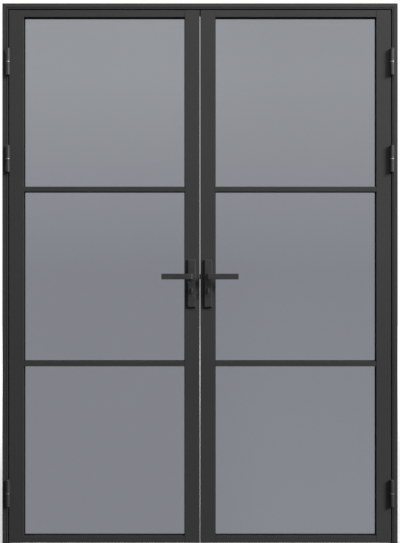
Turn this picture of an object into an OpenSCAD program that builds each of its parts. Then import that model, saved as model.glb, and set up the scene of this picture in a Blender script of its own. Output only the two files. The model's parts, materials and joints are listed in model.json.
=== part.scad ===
/* [Frame] */
// Overall width of the frame
frame_w = 1550; // [1300:10:1800]
// Overall height of the frame
frame_h = 2125; // [1950:5:2400]
// Width of the frame's face round the leaves
frame_face_w = 22; // [18:0.5:40]
// How far the stop stands in behind the leaf
stop_w = 13; // [9:0.5:20]
// Thickness of the stop
stop_d = 14; // [8:0.5:24]
// Distance from the frame's outer edge to the fine groove in its face
groove_inset = 15; // [6:0.5:16]
// Width and depth of the fine groove
groove_w = 2; // [0.8:0.1:3]
// Radius of the fixing holes in the jambs
fixing_r = 4; // [3:0.5:5]
// Radius of the counterbore that sinks the fixing's head
fixing_head_r = 7.5; // [6:0.5:10]
// Depth of the counterbore
fixing_head_d = 8; // [4:0.5:12]
// Height of the lowest fixing
fixing_low_z = 400; // [200:10:500]
// Top fixing below the frame's top
fixing_top_drop = 375; // [200:5:500]

/* [Leaves] */
// Gap between a leaf and the frame
leaf_gap = 4; // [3:0.25:6]
// Gap between the two meeting stiles
meeting_gap = 3.5; // [3:0.25:8]
// Gap under the leaves
floor_gap = 10; // [4:0.5:20]
// Thickness of a leaf
leaf_d = 40; // [38:1:70]
// Space for the seal between leaf and stop
seal_space = 4; // [3:0.25:8]
// Face width of the stiles
stile_w = 58; // [54:0.5:90]
// Face height of the top rail
top_rail_h = 28; // [22:0.5:90]
// Face height of the bottom rail
bottom_rail_h = 27; // [22:0.5:200]
// Face height of a glazing bar
bar_h = 20; // [16:0.5:50]
// Bevel along the edges of the profiles
edge_bevel = 1.2; // [0.4:0.1:2.5]
// Gap left between the seals of the meeting edges
meeting_seal_gap = 1.4; // [1:0.1:2.8]
// Width of a meeting seal
meeting_seal_w = 4; // [2:0.25:4.5]
// Depth of a meeting seal's groove
meeting_seal_d = 5; // [3:0.25:6]
// Meeting seal behind the leaf's front face
meeting_seal_inset = 5.5; // [5:0.25:5.5]
// Height of the rubber buffer between the meeting edges
buffer_h = 20; // [12:1:30]
// Thickness of the buffer
buffer_t = 3; // [2:0.25:3.5]
// Buffer behind the leaf's front face
buffer_inset = 1.4; // [1.2:0.1:1.6]
// Gap between the buffer and the other leaf's edge
buffer_gap = 1.3; // [1.2:0.05:2]

/* [Glazing] */
// Thickness of the glass
glass_t = 10; // [6:0.5:14]
// Depth of the lip in front of the glass
lip_d = 20; // [12:0.5:21]
// Width of the rebate in stiles and rails
rebate_w = 12; // [8:0.5:14]
// Width of the rebate in the glazing bars
bar_rebate_w = 6; // [4.5:0.25:7]
// Room between the glass edge and the rebate
glass_edge_gap = 2; // [1:0.25:3]
// Thickness of a glazing gasket
gasket_t = 2; // [1:0.25:4]
// How far a gasket shows past the lip
gasket_show = 2; // [0.5:0.25:3.5]
// How far the glazing beads stand back from the lip's edge
bead_setback = 2; // [0.5:0.25:2]
// Bevel on the glazing beads
bead_bevel = 1.5; // [0.5:0.25:2]

/* [Hinges] */
// Radius of a hinge barrel
barrel_r = 8; // [7:0.25:10]
// Height of one barrel
barrel_h = 51; // [35:1:70]
// Bevel at a barrel's closed end
barrel_bevel = 1.5; // [0.5:0.25:3]
// Hinge axis in front of the leaf's face
hinge_out = 10; // [9:0.25:14]
// Radius of a hinge pin
pin_r = 5; // [3:0.25:5.5]
// Running clearance round a hinge pin
pin_play = 0.05; // [0.02:0.01:0.1]
// Wall at a barrel's closed end
barrel_end = 6; // [3:0.5:10]
// Thickness of the bearing washer
washer_t = 3; // [1.5:0.5:5]
// How far the washer stands out past the barrels
washer_proud = 0.4; // [0.1:0.1:1.5]
// Gap between washer and leaf barrel
washer_play = 0.2; // [0.1:0.05:0.5]
// Height of the lowest hinge
hinge_low_z = 206; // [120:1:400]
// Middle hinge below the frame's top
hinge_mid_drop = 610.5; // [420:0.5:1000]
// Top hinge below the frame's top
hinge_top_drop = 231; // [150:1:300]

/* [Handles] */
// Height of the lever's axis
lever_z = 1054; // [950:1:1150]
// Distance from the meeting edge to the lever's axis
backset = 30.5; // [28:0.5:31]
// Distance from the lever's axis down to the cylinder's axis
lock_pitch = 55; // [48:0.5:70]
// Width of a backplate
plate_w = 32; // [28:0.5:40]
// Thickness of a backplate
plate_t = 11; // [7:0.5:13]
// Backplate beyond the lever's axis and beyond the cylinder's axis
plate_end = 66; // [62:1:90]
// Bevel round a backplate
plate_bevel = 3; // [0.5:0.25:3]
// Length of a lever from its axis to its tip
lever_len = 117; // [90:1:140]
// Height of the lever's flat bar
lever_h = 22; // [16:0.5:23]
// Thickness of the lever's flat bar
lever_t = 10; // [8:0.5:14]
// Front of the lever from the leaf's face
lever_out = 52; // [42:0.5:65]
// Bevel along the lever's edges
lever_bevel = 1; // [0.4:0.1:2]
// Outer radius of the lever's bend
bend_r = 7; // [3:0.25:9]
// Radius of the lever's collar
collar_r = 12.5; // [12:0.25:14]
// Thickness of the lever's collar
collar_t = 4; // [2:0.5:6]
// Radius of the lever's journal in the backplate
journal_r = 8; // [7:0.25:9]
// Running clearance round the journal
journal_play = 0.08; // [0.03:0.01:0.1]
// Side of the square spindle
spindle_w = 8; // [6:0.5:9]
// Radius of the thumb turn's base
turn_r = 9.5; // [8:0.25:11]
// Thumb turn's reach in front of the backplate
turn_out = 20; // [14:0.5:24]
// Thickness of the thumb turn's grip
turn_grip_t = 8; // [5:0.5:10]
// Bevel along the thumb turn's grip
turn_bevel = 2; // [0.5:0.25:2.25]

/* [Bolt gear] */
// Width of the faceplate in the meeting edge
faceplate_w = 18; // [16:0.5:20]
// Thickness of the faceplate
faceplate_t = 3; // [2:0.25:4]
// Depth of the gear case behind the meeting edge
case_depth = 44; // [43:0.25:44]
// Thickness of the gear case
case_t = 14; // [13:0.5:16]
// Gear case beyond the lever's axis and beyond the cylinder's axis
case_end = 40; // [32:1:44]
// Width of a shoot bolt
bolt_w = 10; // [8:0.5:11]
// Thickness of a shoot bolt
bolt_t = 6; // [4:0.5:7]
// Throw of a shoot bolt
bolt_throw = 16; // [12:0.5:17]
// Length of a shoot bolt inside the gear case
bolt_tail = 30; // [24:1:34]
// Running clearance round a shoot bolt
bolt_play = 0.3; // [0.2:0.05:0.6]
// Room round a shoot bolt in the head's socket
socket_play = 1; // [0.5:0.25:2]

/* [Hidden] */
// Overrun of every cut
cut = 1;
// Facets of round forms
$fn = 64;
// Number of panes in a leaf
pane_count = 3;
// Clearance of inner pieces in their pockets
fit = 0.25;
// Face of a turning piece from its neighbour
face_play = 0.3;

// Planes of a leaf
y_front = -leaf_d / 2;
y_back = leaf_d / 2;
x_meet = meeting_gap / 2;
x_hinge = frame_w / 2 - frame_face_w - leaf_gap;
leaf_top = frame_h - frame_face_w - leaf_gap;
leaf_h = leaf_top - floor_gap;
frame_d = leaf_d + seal_space + stop_d;

// Daylight of a leaf
light_x = x_meet + stile_w;
light_w = x_hinge - x_meet - 2 * stile_w;
bar_count = pane_count - 1;
light_h = (leaf_h - top_rail_h - bottom_rail_h - bar_count * bar_h) / pane_count;
function light_z(i) = floor_gap + bottom_rail_h + i * (light_h + bar_h);
function rebate_below(i) = i == 0 ? rebate_w : bar_rebate_w;
function rebate_above(i) = i == pane_count - 1 ? rebate_w : bar_rebate_w;

// Fixings in a jamb
fixing_count = 4;
fixing_pitch = (frame_h - fixing_low_z - fixing_top_drop) / (fixing_count - 1);

// Layers behind the lip
y_gasket = y_front + lip_d;
y_glass = y_gasket + gasket_t;
y_back_gasket = y_glass + glass_t;
y_bead = y_back_gasket + gasket_t;
bead_d = y_back - y_bead;
// Joint between level and upright beads
bead_play = 0.2;

// Hinge line
x_axis = x_hinge + leaf_gap / 2;
y_axis = y_front - hinge_out;
hinge_zs = [hinge_low_z, frame_h - hinge_mid_drop, frame_h - hinge_top_drop];
bore_depth = barrel_h - barrel_end;
// Room above the pin's end in the leaf barrel
pin_end_room = 2;

// Handle line
x_lever = x_meet + backset;
cylinder_z = lever_z - lock_pitch;
plate_h = lock_pitch + 2 * plate_end;
plate_mid_z = (lever_z + cylinder_z) / 2;
collar_y = plate_t + face_play;
// End of the spindle short of the collar's front
spindle_wall = 1;
spindle_end = leaf_d / 2 + collar_y + collar_t - spindle_wall;
// Room for the lever's hub in the stile
hub_room_r = 10;

// Plate screws, between the gear case and the ends of the plates
screw_r = 2.5;
screw_head_r = 4.5;
screw_head_t = 3;
screw_grip = 5;
screw_end = (case_end + plate_end) / 2;
screw_zs = [lever_z + screw_end, cylinder_z - screw_end];

// Profile cylinder
cyl_r = 8.5;
cyl_flange_r = 5;
cyl_h = 33;
cyl_proud = 1.5;
plug_r = 5;
plug_play = 0.06;
keyway_w = 2;
keyway_h = 8;
keyway_d = 14;
cam_w = 10;
cam_hub_r = 7.5;
cam_lobe_r = 11.5;
cam_lobe_w = 7;
cam_room = 0.4;
turn_base_t = 5;

// Bolt gear
x_bolt = x_meet + faceplate_t + bolt_play;
channel_t = bolt_t + 2 * bolt_play;
channel_w = bolt_w + 2 * bolt_play;
case_top = lever_z + case_end;
case_bottom = cylinder_z - case_end;
// A drawn bolt's tip inside the leaf's edge
bolt_sunk = 1;
bolt_tip_bevel = 1.5;
socket_depth = bolt_throw - leaf_gap - bolt_sunk + 2 * bolt_sunk;
// Room behind a bolt's tail
tail_room = 2;

// Seal on the stop
seal_w = 6;
seal_base_t = 1.6;
seal_inset = 1;
seal_t = seal_space - face_play;
seal_bulb_r = seal_t - seal_base_t;

dark = [0.20, 0.20, 0.205];
black = [0.07, 0.07, 0.075];
steel = [0.70, 0.70, 0.71];
tint = [0.55, 0.57, 0.60, 0.6];

// Every piece is drawn for the right-hand side; the left-hand one is its mirror image
module left() { mirror([1, 0, 0]) children(); }

// Carries a section along +X: its first axis runs down, its second axis back
module along_x(length) { rotate([0, 90, 0]) linear_extrude(length) children(); }

// The same with the first axis running up
module along_x_up(length) { mirror([0, 0, 1]) along_x(length) children(); }

// Carries a section along +Y: its first axis runs along X, its second axis up
module along_y(length) { translate([0, length, 0]) rotate([90, 0, 0]) linear_extrude(length) children(); }

// Turns a front piece about the middle of the leaf to make the one behind
module behind() { mirror([0, 1, 0]) children(); }

// Section of the frame: from the outer edge inwards, and from the front back
module frame_section() {
    groove_end = groove_inset + groove_w;
    stop_front = leaf_d + seal_space;
    polygon([
        [0, 0], [groove_inset, 0], [groove_inset, groove_w], [groove_end, groove_w], [groove_end, 0],
        [frame_face_w - edge_bevel, 0], [frame_face_w, edge_bevel], [frame_face_w, stop_front],
        [frame_face_w + stop_w, stop_front], [frame_face_w + stop_w, frame_d], [0, frame_d]
    ]);
}

// Section of a stile or rail: outer edge, front lip, rebate behind the lip
module leaf_section(face) {
    tube = face - rebate_w;
    polygon([
        [edge_bevel, 0], [face - edge_bevel, 0], [face, edge_bevel], [face, lip_d], [tube, lip_d],
        [tube, leaf_d], [edge_bevel, leaf_d], [0, leaf_d - edge_bevel], [0, edge_bevel]
    ]);
}

// Section of a glazing bar: a front flange with a web behind it
module bar_section() {
    polygon([
        [edge_bevel, 0], [bar_h - edge_bevel, 0], [bar_h, edge_bevel], [bar_h, lip_d],
        [bar_h - bar_rebate_w, lip_d], [bar_h - bar_rebate_w, leaf_d], [bar_rebate_w, leaf_d],
        [bar_rebate_w, lip_d], [0, lip_d], [0, edge_bevel]
    ]);
}

// Section of a glazing bead: from the rebate's wall towards the daylight
module bead_section(w) {
    polygon([[0, 0], [w, 0], [w, bead_d - bead_bevel], [w - bead_bevel, bead_d], [0, bead_d]]);
}

// Outline of the profile cylinder, grown by a clearance
module cylinder_outline(grow) {
    foot = cyl_r - cyl_h + cyl_flange_r;
    circle(cyl_r + grow);
    translate([0, foot]) circle(cyl_flange_r + grow);
    translate([-cyl_flange_r - grow, foot]) square([2 * (cyl_flange_r + grow), -foot]);
}

// Mitred jamb with its fixing holes
module jamb() {
    depth = frame_face_w + stop_w;
    hole_len = frame_face_w + 2 * cut;
    color(dark) difference() {
        intersection() {
            translate([frame_w / 2, y_front, 0]) mirror([1, 0, 0]) linear_extrude(frame_h) frame_section();
            translate([frame_w / 2, y_front, 0]) along_y(frame_d)
                polygon([[-depth, 0], [0, 0], [0, frame_h], [-depth, frame_h - depth]]);
        }
        for (i = [0:fixing_count - 1])
            translate([frame_w / 2 - frame_face_w, 0, fixing_low_z + i * fixing_pitch])
            rotate([0, 90, 0]) {
                translate([0, 0, -cut]) cylinder(h = hole_len, r = fixing_r);
                translate([0, 0, -cut]) cylinder(h = fixing_head_d + cut, r = fixing_head_r);
            }
    }
}

// Mitred head with the sockets of the upper bolts
module frame_head() {
    depth = frame_face_w + stop_w;
    socket_t = bolt_t + 2 * socket_play;
    socket_w = bolt_w + 2 * socket_play;
    color(dark) difference() {
        intersection() {
            translate([-frame_w / 2, y_front, frame_h]) along_x(frame_w) frame_section();
            translate([0, y_front, frame_h]) along_y(frame_d) polygon([
                [-frame_w / 2, 0], [frame_w / 2, 0],
                [frame_w / 2 - depth, -depth], [depth - frame_w / 2, -depth]
            ]);
        }
        for (side = [0, 1]) mirror([side, 0, 0])
            translate([x_bolt - socket_play, -socket_w / 2, frame_h - frame_face_w - cut])
                cube([socket_t, socket_w, socket_depth + cut]);
    }
}

// Section of the seal: a flat foot on the stop with a half-round bulb towards the leaf
module seal_section() {
    translate([0, seal_bulb_r]) square([seal_w, seal_base_t]);
    translate([seal_w / 2, seal_bulb_r]) intersection() {
        circle(seal_bulb_r);
        translate([-seal_bulb_r, -seal_bulb_r]) square([2 * seal_bulb_r, seal_bulb_r]);
    }
}

// Three lengths of seal on the stops, the head's between the jambs'
module rebate_seals() {
    inset = frame_face_w + stop_w - seal_inset;
    x_seal = frame_w / 2 - inset;
    y_seal = y_back + face_play;
    color(black) {
        for (side = [0, 1]) mirror([side, 0, 0]) translate([x_seal, y_seal, 0])
            linear_extrude(frame_h - inset) seal_section();
        translate([-x_seal, y_seal, frame_h - inset + seal_w]) along_x(2 * x_seal) seal_section();
    }
}

// Barrel with its bore open at the top, and a nose that is welded to the face beside it
module barrel() {
    nose_x = leaf_gap / 2;
    difference() {
        union() {
            rotate_extrude() polygon([
                [0, 0], [barrel_r - barrel_bevel, 0], [barrel_r, barrel_bevel],
                [barrel_r, barrel_h], [0, barrel_h]
            ]);
            translate([nose_x, 0, barrel_bevel])
                cube([barrel_r - nose_x, hinge_out, barrel_h - barrel_bevel]);
        }
        translate([0, 0, barrel_end]) cylinder(h = bore_depth + cut, r = pin_r + pin_play);
    }
}

// Lower barrels, on the jamb
module frame_barrels() {
    color(black) for (z = hinge_zs) translate([x_axis, y_axis, z - washer_t / 2 - barrel_h]) barrel();
}

// Upper barrels, on the leaf: the same piece turned end for end
module leaf_barrels() {
    color(black) for (z = hinge_zs)
        translate([x_axis, y_axis, z + washer_t / 2 + washer_play + barrel_h]) mirror([0, 0, 1])
            mirror([1, 0, 0]) barrel();
}

// Pins standing in the lower barrels
module hinge_pins() {
    pin_len = 2 * bore_depth + washer_t - pin_end_room;
    color(steel) for (z = hinge_zs)
        translate([x_axis, y_axis, z - washer_t / 2 - bore_depth]) cylinder(h = pin_len, r = pin_r);
}

// Bearing washers between the barrels
module hinge_washers() {
    color(steel) for (z = hinge_zs) translate([x_axis, y_axis, z - washer_t / 2]) difference() {
        cylinder(h = washer_t, r = barrel_r + washer_proud);
        translate([0, 0, -cut]) cylinder(h = washer_t + 2 * cut, r = pin_r + pin_play);
    }
}

// Stile on the hinge side
module hinge_stile() {
    color(dark) translate([x_hinge, y_front, floor_gap]) mirror([1, 0, 0])
        linear_extrude(leaf_h) leaf_section(stile_w);
}

// Stile at the meeting edge, grooved for the bolts and mortised for the gear and handles
module meeting_stile() {
    color(dark) difference() {
        translate([x_meet, y_front, floor_gap]) linear_extrude(leaf_h) leaf_section(stile_w);
        translate([x_meet - cut, -faceplate_w / 2 - fit, floor_gap - cut])
            cube([faceplate_t + cut, faceplate_w + 2 * fit, leaf_h + 2 * cut]);
        translate([x_meet, -channel_w / 2, floor_gap - cut])
            cube([faceplate_t + channel_t, channel_w, leaf_h + 2 * cut]);
        translate([x_meet, -case_t / 2 - fit, case_bottom - fit])
            cube([case_depth + fit, case_t + 2 * fit, case_top - case_bottom + 2 * fit]);
        translate([x_lever, y_front - cut, lever_z]) along_y(leaf_d + 2 * cut) circle(hub_room_r);
        translate([x_lever, y_front - cut, cylinder_z]) along_y(leaf_d + 2 * cut) cylinder_outline(2 * fit);
        for (z = screw_zs) translate([x_lever, y_front - cut, z])
            along_y(leaf_d + 2 * cut) circle(screw_r + fit);
        translate([x_meet - cut, y_front + meeting_seal_inset, floor_gap - cut])
            cube([meeting_seal_d + cut, meeting_seal_w, leaf_h + 2 * cut]);
    }
}

// Seal in the meeting edge's front groove, reaching half way to its twin less the gap between them
module meeting_seal() {
    reach = (meeting_gap - meeting_seal_gap) / 2;
    color(black) translate([x_meet - reach, y_front + meeting_seal_inset, floor_gap])
        cube([meeting_seal_d + reach, meeting_seal_w, leaf_h]);
}

// Rubber buffer on the meeting edge at the lever's height
module buffer() {
    reach = meeting_gap - buffer_gap;
    color(black) translate([x_meet - reach, y_front + buffer_inset, lever_z - buffer_h / 2])
        cube([reach, buffer_t, buffer_h]);
}

// Cuts a cross member's ends to fit round the stiles' lips
module coped(z, h) {
    difference() {
        children();
        for (x = [light_x - rebate_w - cut, light_x + light_w])
            translate([x, y_front - cut, z - cut]) cube([rebate_w + cut, lip_d + cut, h + 2 * cut]);
    }
}

// Top rail between the stiles
module top_rail() {
    color(dark) coped(leaf_top - top_rail_h, top_rail_h)
        translate([light_x - rebate_w, y_front, leaf_top]) along_x(light_w + 2 * rebate_w)
            leaf_section(top_rail_h);
}

// Bottom rail between the stiles
module bottom_rail() {
    color(dark) coped(floor_gap, bottom_rail_h)
        translate([light_x - rebate_w, y_front, floor_gap]) along_x_up(light_w + 2 * rebate_w)
            leaf_section(bottom_rail_h);
}

// Glazing bar above the given pane
module glazing_bar(i) {
    z = light_z(i) + light_h;
    color(dark) coped(z, bar_h) translate([light_x - rebate_w, y_front, z + bar_h])
        along_x(light_w + 2 * rebate_w) bar_section();
}

// Outline of a pane's opening, grown into the rebates by shares of their width less an edge gap
module pane_outline(i, edge_gap) {
    below = rebate_below(i) - edge_gap;
    above = rebate_above(i) - edge_gap;
    side = rebate_w - edge_gap;
    translate([light_x - side, light_z(i) - below]) square([light_w + 2 * side, light_h + below + above]);
}

// One pane of glass
module pane(i) {
    color(tint) translate([0, y_glass, 0]) along_y(glass_t) pane_outline(i, glass_edge_gap);
}

// Ring of gasket that shows by the given amount inside a pane's daylight
module gasket_ring(i, show) {
    along_y(gasket_t) difference() {
        pane_outline(i, glass_edge_gap);
        translate([light_x + show, light_z(i) + show]) square([light_w - 2 * show, light_h - 2 * show]);
    }
}

// Gasket rings in front of and behind every pane, the back ones following the beads
module gaskets() {
    color(black) for (i = [0:pane_count - 1]) {
        translate([0, y_gasket, 0]) gasket_ring(i, gasket_show);
        translate([0, y_back_gasket, 0]) gasket_ring(i, gasket_show - bead_setback);
    }
}

// Four beads behind every pane, the level ones between the upright ones
module beads() {
    upright_w = rebate_w - bead_setback;
    x_level = light_x - bead_setback + bead_play;
    level_len = light_w + 2 * bead_setback - 2 * bead_play;
    color(dark) for (i = [0:pane_count - 1]) {
        z_low = light_z(i) - rebate_below(i);
        z_high = light_z(i) + light_h + rebate_above(i);
        translate([light_x - rebate_w, y_bead, z_low])
            linear_extrude(z_high - z_low) bead_section(upright_w);
        translate([light_x + light_w + rebate_w, y_bead, z_low]) mirror([1, 0, 0])
            linear_extrude(z_high - z_low) bead_section(upright_w);
        translate([x_level, y_bead, z_low]) along_x_up(level_len)
            bead_section(rebate_below(i) - bead_setback);
        translate([x_level, y_bead, z_high]) along_x(level_len)
            bead_section(rebate_above(i) - bead_setback);
    }
}

// Bevelled backplate on the front face, with its lever and cylinder holes
module plate_body() {
    half_w = plate_w / 2;
    half_h = plate_h / 2;
    translate([x_lever, y_front, 0]) difference() {
        translate([0, 0, plate_mid_z]) intersection() {
            translate([0, 0, -half_h]) linear_extrude(plate_h) polygon([
                [-half_w, 0], [-half_w, plate_bevel - plate_t], [plate_bevel - half_w, -plate_t],
                [half_w - plate_bevel, -plate_t], [half_w, plate_bevel - plate_t], [half_w, 0]
            ]);
            translate([-half_w, 0, 0]) along_x(plate_w) polygon([
                [-half_h, 0], [-half_h, plate_bevel - plate_t], [plate_bevel - half_h, -plate_t],
                [half_h - plate_bevel, -plate_t], [half_h, plate_bevel - plate_t], [half_h, 0]
            ]);
        }
        translate([0, -plate_t - cut, lever_z]) along_y(plate_t + 2 * cut) circle(journal_r + journal_play);
        translate([0, -plate_t - cut, cylinder_z]) along_y(plate_t + 2 * cut) cylinder_outline(fit);
    }
}

// Front backplate, tapped from behind for the screws
module front_plate() {
    color(black) difference() {
        plate_body();
        for (z = screw_zs) translate([x_lever, y_front - screw_grip, z])
            along_y(screw_grip + cut) circle(screw_r + fit);
    }
}

// Back backplate, with sunk screw heads
module back_plate() {
    color(black) difference() {
        behind() plate_body();
        for (z = screw_zs) translate([x_lever, y_back - cut, z]) {
            along_y(plate_t + 2 * cut) circle(screw_r + fit);
            translate([0, plate_t + cut - screw_head_t, 0]) along_y(screw_head_t + cut)
                circle(screw_head_r + fit);
        }
    }
}

// Screws through the stile from the back plate to the front plate
module plate_screws() {
    head_y = y_back + plate_t - screw_head_t;
    color(steel) for (z = screw_zs) translate([x_lever, 0, z]) {
        translate([0, y_front - screw_grip, 0]) along_y(head_y - y_front + screw_grip) circle(screw_r);
        translate([0, head_y, 0]) along_y(screw_head_t) circle(screw_head_r);
    }
}

// Lever of flat bar turned through a right angle, with a round collar and journal
module lever_body() {
    half_h = lever_h / 2;
    half_neck = lever_t / 2;
    bar_back = lever_out - lever_t;
    socket_w = spindle_w + fit;
    translate([x_lever, y_front, lever_z]) difference() {
        union() {
            intersection() {
                translate([0, 0, -half_h]) linear_extrude(lever_h) {
                    polygon([
                        [-half_neck, -collar_y], [-half_neck, bend_r - lever_out],
                        [bend_r - half_neck, -lever_out], [lever_len - lever_bevel, -lever_out],
                        [lever_len, lever_bevel - lever_out], [lever_len, -bar_back],
                        [half_neck, -bar_back], [half_neck, -collar_y]
                    ]);
                    translate([bend_r - half_neck, bend_r - lever_out]) circle(bend_r);
                }
                translate([-lever_t, 0, 0]) along_x(lever_len + 2 * lever_t) polygon([
                    [-half_h, 0], [-half_h, lever_bevel - lever_out], [lever_bevel - half_h, -lever_out],
                    [half_h - lever_bevel, -lever_out], [half_h, lever_bevel - lever_out], [half_h, 0]
                ]);
            }
            translate([0, -collar_y - collar_t, 0]) along_y(collar_t) circle(collar_r);
            translate([0, -collar_y - collar_t / 2, 0]) along_y(collar_y + collar_t / 2) circle(journal_r);
        }
        translate([0, -collar_y - collar_t + spindle_wall, 0]) along_y(collar_y + collar_t)
            square(socket_w, center = true);
    }
}

// Lever in front
module front_lever() { color(black) lever_body(); }

// Lever behind
module back_lever() { color(black) behind() lever_body(); }

// Square spindle through the leaf
module spindle() {
    color(steel) translate([x_lever, -spindle_end, lever_z]) along_y(2 * spindle_end)
        square(spindle_w, center = true);
}

// Shoot-bolt gear: a case in the stile behind a faceplate that runs the height of the leaf
module bolt_gear() {
    slot_len = bolt_tail + tail_room;
    color(steel) difference() {
        union() {
            translate([x_meet, -faceplate_w / 2, floor_gap]) cube([faceplate_t, faceplate_w, leaf_h]);
            translate([x_meet, -case_t / 2, case_bottom]) cube([case_depth, case_t, case_top - case_bottom]);
        }
        translate([x_meet + faceplate_t, -channel_w / 2, case_top - slot_len])
            cube([channel_t, channel_w, slot_len + cut]);
        translate([x_meet + faceplate_t, -channel_w / 2, case_bottom - cut])
            cube([channel_t, channel_w, slot_len + cut]);
        translate([x_lever, -case_t / 2 - cut, lever_z]) along_y(case_t + 2 * cut) circle(spindle_w);
        translate([x_lever, -case_t / 2 - cut, cylinder_z]) along_y(case_t + 2 * cut) cylinder_outline(fit);
        translate([x_lever, -cam_w / 2 - cam_room, cylinder_z]) along_y(cam_w + 2 * cam_room)
            circle(cam_lobe_r + cam_room);
    }
}

// Profile cylinder: bored for the thumb turn, waisted for the cam, keyway at the back
module lock_cylinder() {
    reach = leaf_d / 2 + plate_t + cyl_proud;
    waist = cam_w + 2 * cam_room;
    waist_low = cam_lobe_r + cam_room;
    color(steel) translate([x_lever, 0, cylinder_z]) difference() {
        translate([0, -reach, 0]) along_y(2 * reach) cylinder_outline(0);
        translate([0, -reach - cut, 0]) along_y(reach + cut) circle(plug_r + plug_play);
        translate([-cyl_r - cut, -waist / 2, -waist_low])
            cube([2 * (cyl_r + cut), waist, waist_low + cyl_r + cut]);
        translate([-keyway_w / 2, reach - keyway_d, -keyway_h / 2])
            cube([keyway_w, keyway_d + cut, keyway_h]);
    }
}

// Thumb turn: a round base with a flat grip, its plug and the cam on the plug's end
module thumb_turn() {
    face_y = leaf_d / 2 + plate_t + cyl_proud + face_play;
    grip_y = leaf_d / 2 + plate_t + turn_out;
    half_grip = turn_grip_t / 2;
    color(black) translate([x_lever, 0, cylinder_z]) {
        translate([0, -face_y - turn_base_t, 0]) along_y(turn_base_t) circle(turn_r);
        intersection() {
            translate([0, -grip_y, 0]) along_y(grip_y - face_y) circle(turn_r);
            translate([0, 0, -turn_r]) linear_extrude(2 * turn_r) polygon([
                [-half_grip, 0], [-half_grip, turn_bevel - grip_y], [turn_bevel - half_grip, -grip_y],
                [half_grip - turn_bevel, -grip_y], [half_grip, turn_bevel - grip_y], [half_grip, 0]
            ]);
        }
        translate([0, -face_y - turn_base_t / 2, 0]) along_y(face_y + turn_base_t / 2) circle(plug_r);
        translate([0, -cam_w / 2, 0]) along_y(cam_w) {
            circle(cam_hub_r);
            intersection() {
                circle(cam_lobe_r);
                translate([-cam_lobe_w / 2, -cam_lobe_r]) square([cam_lobe_w, cam_lobe_r]);
            }
        }
    }
}

// Shoot bolt of the given length, standing on its tail, with a bevelled tip
module bolt(length) {
    translate([x_bolt, 0, 0]) intersection() {
        translate([0, -bolt_w / 2, 0]) cube([bolt_t, bolt_w, length]);
        along_x(bolt_t) polygon([
            [0, -bolt_w / 2], [bolt_tip_bevel - length, -bolt_w / 2], [-length, bolt_tip_bevel - bolt_w / 2],
            [-length, bolt_w / 2 - bolt_tip_bevel], [bolt_tip_bevel - length, bolt_w / 2], [0, bolt_w / 2]
        ]);
    }
}

// Bolt to the head, drawn back
module upper_bolt() {
    foot = case_top - bolt_tail;
    color(steel) translate([0, 0, foot]) bolt(leaf_top - bolt_sunk - foot);
}

// Bolt to the floor, drawn back
module lower_bolt() {
    foot = case_bottom + bolt_tail;
    color(steel) translate([0, 0, foot]) mirror([0, 0, 1]) bolt(foot - floor_gap - bolt_sunk);
}

left() jamb();  // left_jamb
jamb();  // right_jamb
frame_head();
rebate_seals();
left() frame_barrels();  // left_frame_barrels
frame_barrels();  // right_frame_barrels
left() hinge_pins();  // left_hinge_pins
hinge_pins();  // right_hinge_pins
left() hinge_washers();  // left_hinge_washers
hinge_washers();  // right_hinge_washers
left() hinge_stile();  // left_hinge_stile
left() meeting_stile();  // left_meeting_stile
left() top_rail();  // left_top_rail
left() bottom_rail();  // left_bottom_rail
left() glazing_bar(1);  // left_upper_bar
left() glazing_bar(0);  // left_lower_bar
left() pane(2);  // left_top_pane
left() pane(1);  // left_middle_pane
left() pane(0);  // left_bottom_pane
left() gaskets();  // left_gaskets
left() beads();  // left_beads
left() leaf_barrels();  // left_leaf_barrels
left() front_plate();  // left_front_plate
left() back_plate();  // left_back_plate
left() plate_screws();  // left_plate_screws
left() meeting_seal();  // left_meeting_seal
left() bolt_gear();  // left_bolt_gear
left() lock_cylinder();  // left_lock_cylinder
left() front_lever();  // left_front_lever
left() back_lever();  // left_back_lever
left() spindle();  // left_spindle
left() thumb_turn();  // left_thumb_turn
left() upper_bolt();  // left_upper_bolt
left() lower_bolt();  // left_lower_bolt
hinge_stile();  // right_hinge_stile
meeting_stile();  // right_meeting_stile
top_rail();  // right_top_rail
bottom_rail();  // right_bottom_rail
glazing_bar(1);  // right_upper_bar
glazing_bar(0);  // right_lower_bar
pane(2);  // right_top_pane
pane(1);  // right_middle_pane
pane(0);  // right_bottom_pane
gaskets();  // right_gaskets
beads();  // right_beads
leaf_barrels();  // right_leaf_barrels
front_plate();  // right_front_plate
back_plate();  // right_back_plate
plate_screws();  // right_plate_screws
meeting_seal();  // right_meeting_seal
buffer();  // right_buffer
bolt_gear();  // right_bolt_gear
lock_cylinder();  // right_lock_cylinder
front_lever();  // right_front_lever
back_lever();  // right_back_lever
spindle();  // right_spindle
thumb_turn();  // right_thumb_turn
upper_bolt();  // right_upper_bolt
lower_bolt();  // right_lower_bolt
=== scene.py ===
"""Looks of a pair of french doors in their frame: coats, glass, seals, small fixings, stage and camera."""

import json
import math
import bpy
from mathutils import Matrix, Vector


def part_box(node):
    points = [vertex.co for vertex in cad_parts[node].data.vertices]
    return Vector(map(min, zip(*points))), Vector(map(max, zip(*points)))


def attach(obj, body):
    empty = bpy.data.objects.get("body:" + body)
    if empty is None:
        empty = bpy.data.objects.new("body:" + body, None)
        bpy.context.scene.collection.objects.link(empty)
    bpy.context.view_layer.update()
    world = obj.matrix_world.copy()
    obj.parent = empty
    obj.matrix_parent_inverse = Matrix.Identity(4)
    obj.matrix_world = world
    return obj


bl_info = {
    "name": "French doors looks",
    "version": (1, 0, 0),
    "blender": (4, 5, 0),
    "location": "View3D > Sidebar > French doors",
    "description": "Finishes and small fixings for a pair of french doors with their frame",
    "category": "Object",
}

import bpy
import numpy as np

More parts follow.
